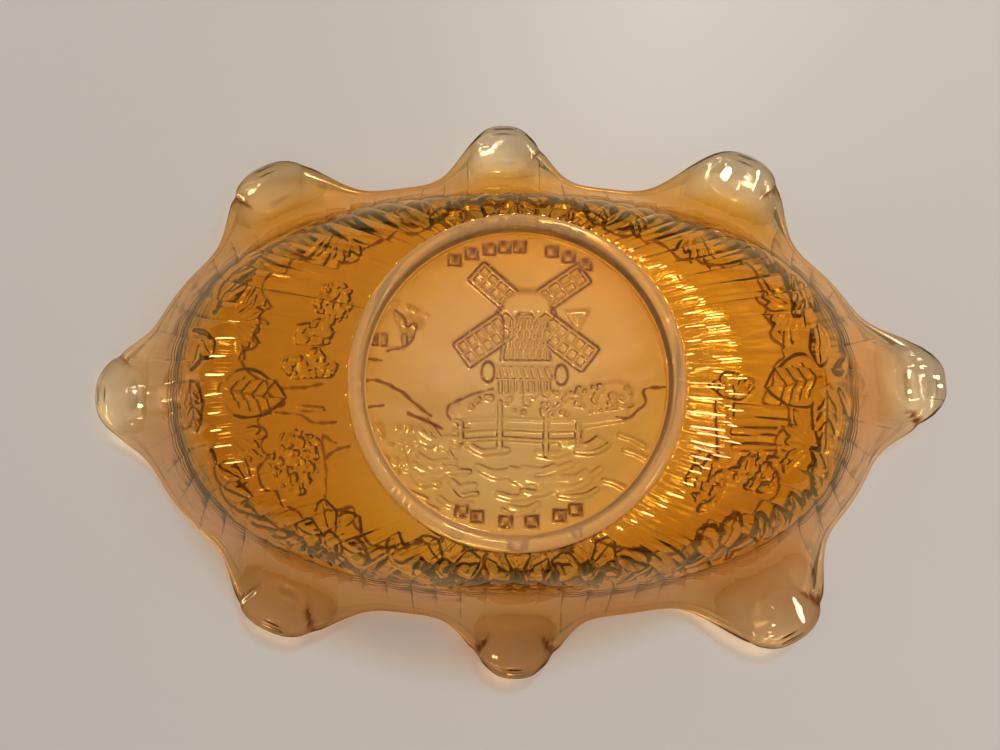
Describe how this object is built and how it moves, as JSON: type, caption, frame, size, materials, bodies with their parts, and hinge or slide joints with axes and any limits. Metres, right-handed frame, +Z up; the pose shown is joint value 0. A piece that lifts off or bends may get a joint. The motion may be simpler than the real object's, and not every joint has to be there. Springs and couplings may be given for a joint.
{
  "type": "pressed glass bowl",
  "caption": "Oval pressed amber iridescent glass bowl lying rim down: round foot ring, fluted wall, line border and a ruffled rim drawn out into points.",
  "frame": {"origin": "on the surface that the rim rests on, under the middle of the bowl's overall length and width", "axes": "the bowl lies rim down, as it was pictured: +Z up, out of the underside of the foot, +X along the bowl's length towards the rim point named right, +Y across it towards the rim point named back; in use the bowl is turned over, with -Z up"},
  "size_m": [0.2076, 0.1352, 0.045],
  "materials": {
    "base_glass": "clear pale amber pressed glass with a light iridescent film",
    "foot_glass": "polished amber pressed glass with a copper-pink iridescent film",
    "wall_glass": "deep amber pressed glass with a gold iridescent film over flutes",
    "rim_glass": "peach-tinted pressed glass, nearly clear at the rim's drawn-out points"
  },
  "bodies": {
    "root": {"base_disc": "base_glass", "foot_ring": "foot_glass", "wall_right": "wall_glass", "wall_back_right": "wall_glass", "wall_back": "wall_glass", "wall_back_left": "wall_glass", "wall_left": "wall_glass", "wall_front_left": "wall_glass", "wall_front": "wall_glass", "wall_front_right": "wall_glass", "rim_point_right": "rim_glass", "rim_point_back_right": "rim_glass", "rim_point_back": "rim_glass", "rim_point_back_left": "rim_glass", "rim_point_left": "rim_glass", "rim_point_front_left": "rim_glass", "rim_point_front": "rim_glass", "rim_point_front_right": "rim_glass"}
  },
  "joints": []
}
